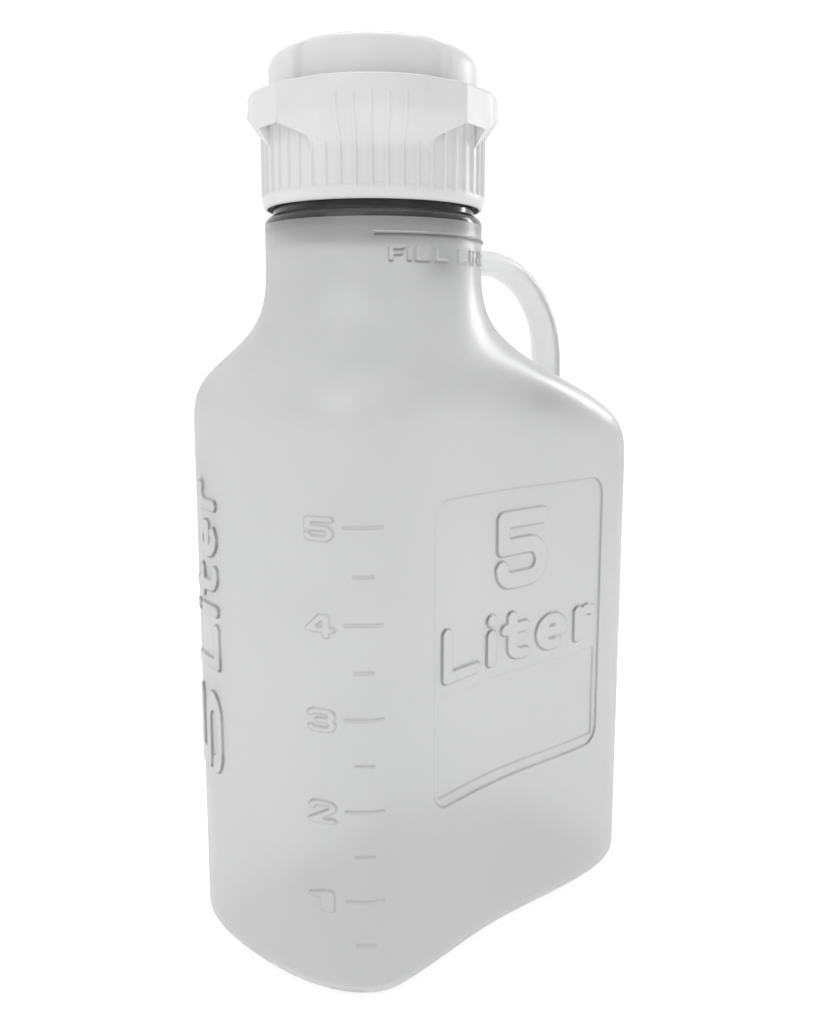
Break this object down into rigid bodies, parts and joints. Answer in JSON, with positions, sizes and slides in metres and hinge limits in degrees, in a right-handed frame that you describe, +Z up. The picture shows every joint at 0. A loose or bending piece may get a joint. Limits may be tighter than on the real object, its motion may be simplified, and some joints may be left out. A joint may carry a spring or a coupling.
{
  "type": "wide-mouth carrying bottle",
  "caption": "Tall translucent carrying bottle with a bowed nose, waisted label panels, raised litre marks, a moulded grip loop and a ribbed, winged screw closure.",
  "frame": {"origin": "on the surface the bottle stands on, under the middle of its length and width", "axes": "+Z up along the neck, -Y towards the rounded nose that carries the marks, +Y towards the grip loop, +X out of one label panel"},
  "size_m": [0.1292, 0.223, 0.4035],
  "materials": {
    "natural_plastic": "frosted translucent",
    "white_plastic": "satin",
    "gasket": "soft matt"
  },
  "bodies": {
    "bottle": {"bottle_body": "natural_plastic", "neck_finish": "natural_plastic", "grip_loop": "natural_plastic", "label_frames": "natural_plastic", "graduation_marks": "natural_plastic", "full_line": "natural_plastic"},
    "insert": {"cap_insert": "white_plastic", "sealing_gasket": "gasket"},
    "collar": {"cap_collar": "white_plastic"}
  },
  "joints": [
    {"name": "cap_lift", "type": "slide", "parent": "bottle", "child": "insert", "axis": [0, 0, 1], "range_m": [0, 0.0181]},
    {"name": "cap_turn", "type": "hinge", "parent": "insert", "child": "collar", "pos_m": [0, -0.0345, 0.35], "axis": [0, 0, 1], "range_deg": [0, 1080]}
  ],
  "couplings": [
    {"joint": "cap_lift", "follows": "cap_turn", "m_per_rad": 0.00095493}
  ]
}
